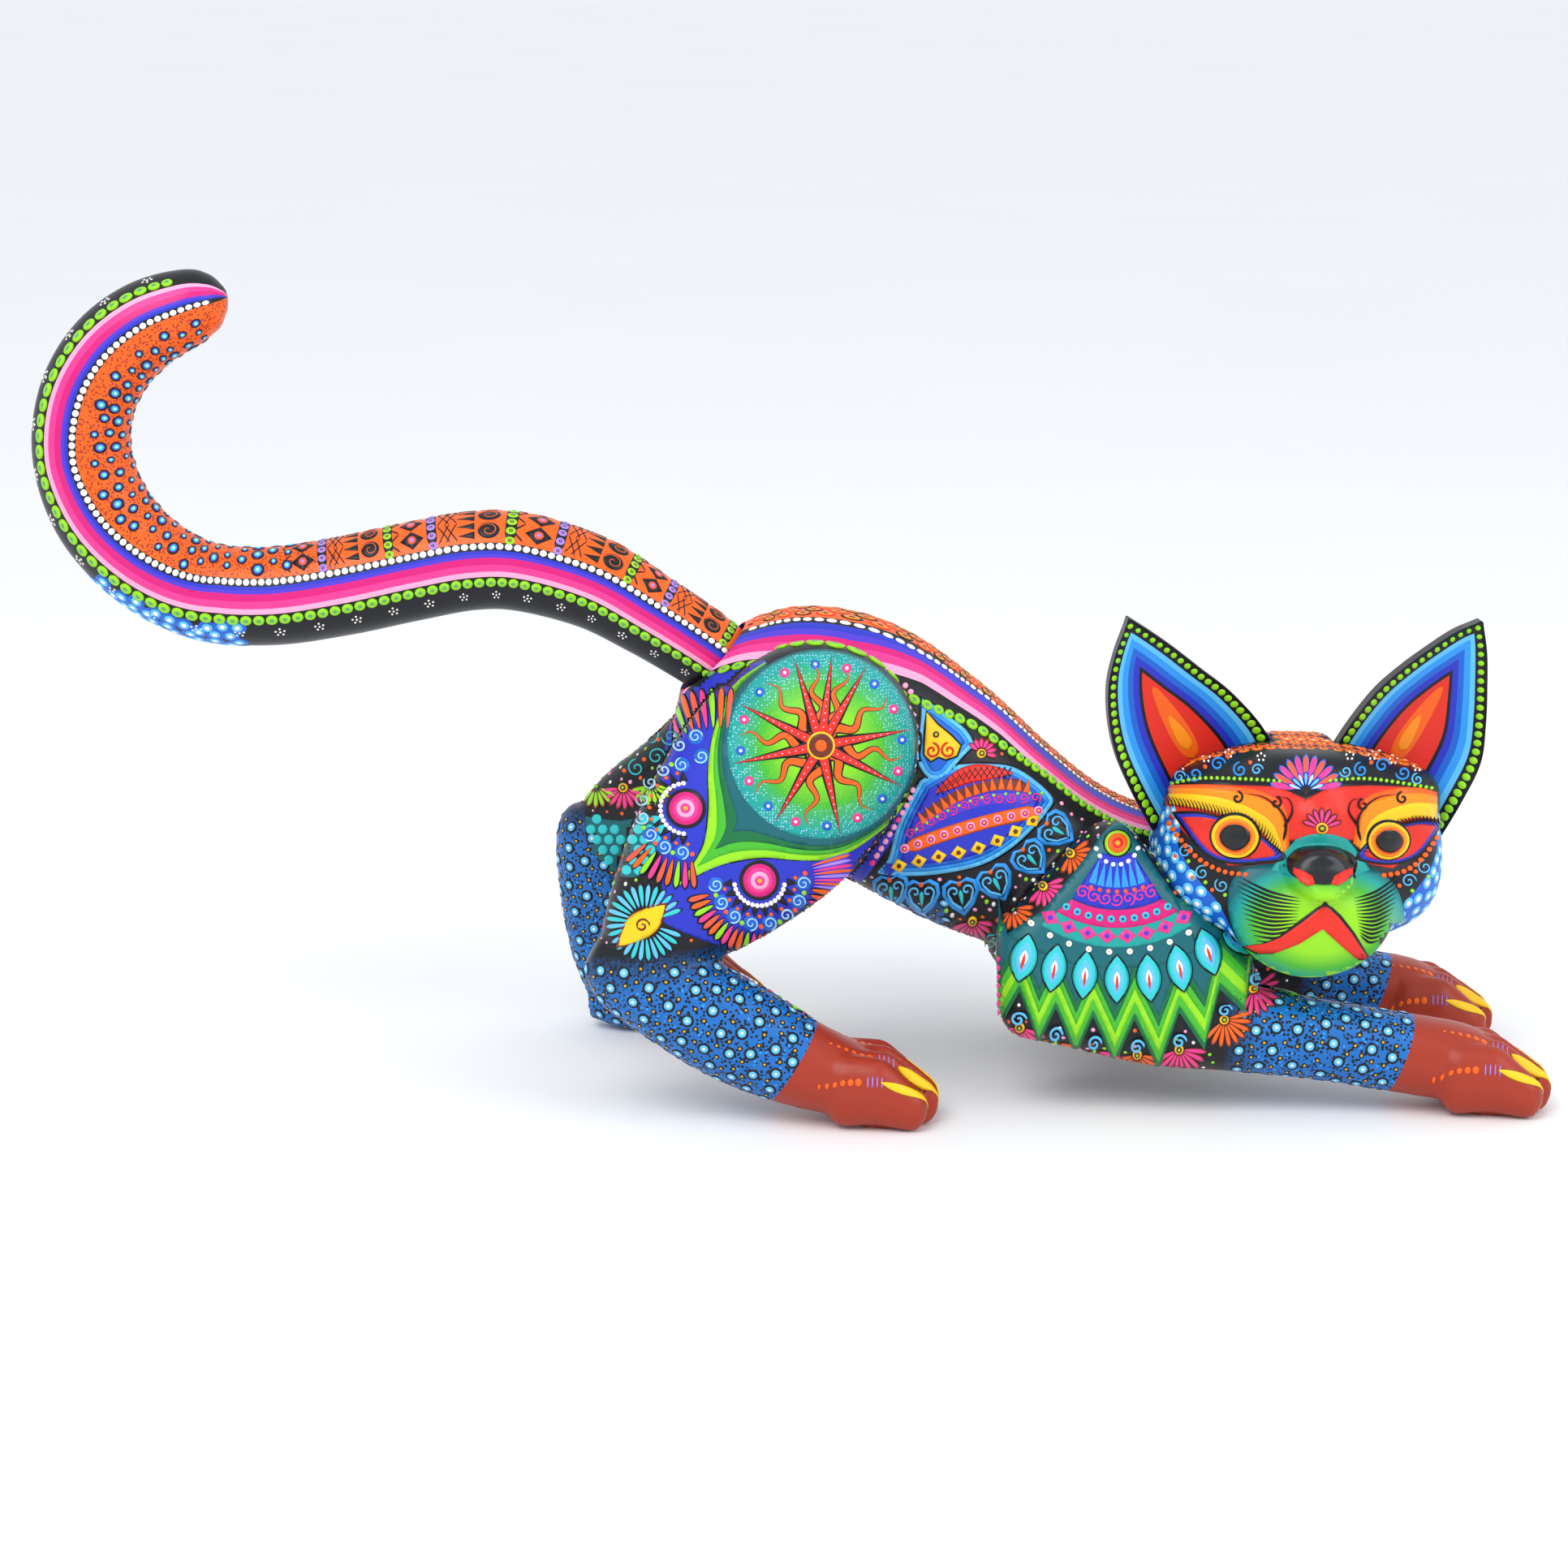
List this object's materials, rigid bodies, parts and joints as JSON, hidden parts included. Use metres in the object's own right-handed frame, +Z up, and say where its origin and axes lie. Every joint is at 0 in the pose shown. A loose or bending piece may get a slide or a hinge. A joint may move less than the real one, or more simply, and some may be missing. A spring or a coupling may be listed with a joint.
{
  "type": "painted carved wooden cat figure",
  "caption": "Carved wooden cat crouching with its head turned to its right, front legs stretched out, pricked ears and a long hooked tail, painted all over in bright patterns.",
  "frame": {"origin": "on the surface the cat stands on, under the middle of its bounding box", "axes": "+X forward, from the tail to the front paws; +Y to the cat's left; +Z up. The head looks towards -Y."},
  "size_m": [0.5515, 0.1581, 0.3002],
  "materials": {
    "body_paint": "satin acrylic paint over sanded wood",
    "head_paint": "satin acrylic paint over sanded wood",
    "tail_paint": "satin acrylic paint over sanded wood",
    "ear_paint": "satin acrylic paint over sanded wood",
    "leg_paint": "satin acrylic paint over sanded wood",
    "haunch_paint": "satin acrylic paint over sanded wood",
    "bare_wood": "plain sanded wood"
  },
  "bodies": {
    "carcass": {"torso": "body_paint", "head": "head_paint", "front_leg_right": "leg_paint", "front_leg_left": "leg_paint", "hind_leg_right": "haunch_paint", "hind_leg_left": "haunch_paint", "neck_dowel": "bare_wood", "front_right_dowels": "bare_wood", "front_left_dowels": "bare_wood", "hind_right_dowels": "bare_wood", "hind_left_dowels": "bare_wood"},
    "tail": {"tail": "tail_paint", "tail_peg": "bare_wood"},
    "ear_right": {"ear_right": "ear_paint", "ear_right_peg": "bare_wood"},
    "ear_left": {"ear_left": "ear_paint", "ear_left_peg": "bare_wood"}
  },
  "joints": [
    {"name": "tail_lift", "type": "slide", "parent": "carcass", "child": "tail", "axis": [-0.8107, 0, 0.5855], "range_m": [0, 0.032]},
    {"name": "ear_right_lift", "type": "slide", "parent": "carcass", "child": "ear_right", "axis": [-0.492, -0.0431, 0.8695], "range_m": [0, 0.02]},
    {"name": "ear_left_lift", "type": "slide", "parent": "carcass", "child": "ear_left", "axis": [0.5628, 0.0492, 0.8251], "range_m": [0, 0.02]}
  ]
}
